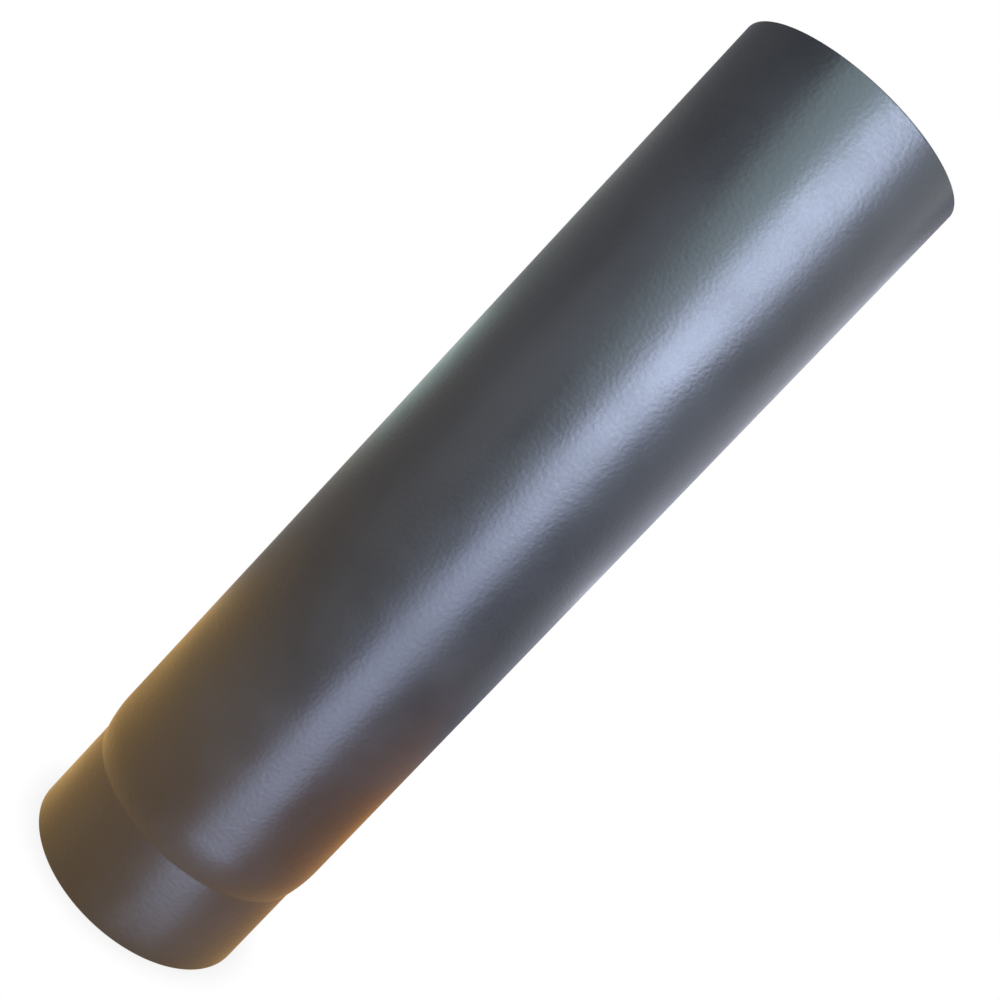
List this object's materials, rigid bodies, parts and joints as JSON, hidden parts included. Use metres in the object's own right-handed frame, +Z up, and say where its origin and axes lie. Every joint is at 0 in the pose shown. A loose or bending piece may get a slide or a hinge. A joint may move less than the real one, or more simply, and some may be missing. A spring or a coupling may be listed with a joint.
{
  "type": "stove pipe",
  "caption": "Straight single-wall steel stove pipe with a plain socket end and a swaged spigot end, for carrying flue gas from a stove to a chimney.",
  "frame": {"origin": "centre of the spigot's foot, on the pipe's axis", "axes": "+Z up along the pipe's axis, from the spigot's foot to the plain rim"},
  "size_m": [0.128, 0.1278, 0.5],
  "materials": {
    "heat_resistant_paint": "fine-textured satin charcoal heat-resistant paint over steel"
  },
  "bodies": {
    "root": {"flue_pipe": "heat_resistant_paint"}
  },
  "joints": []
}
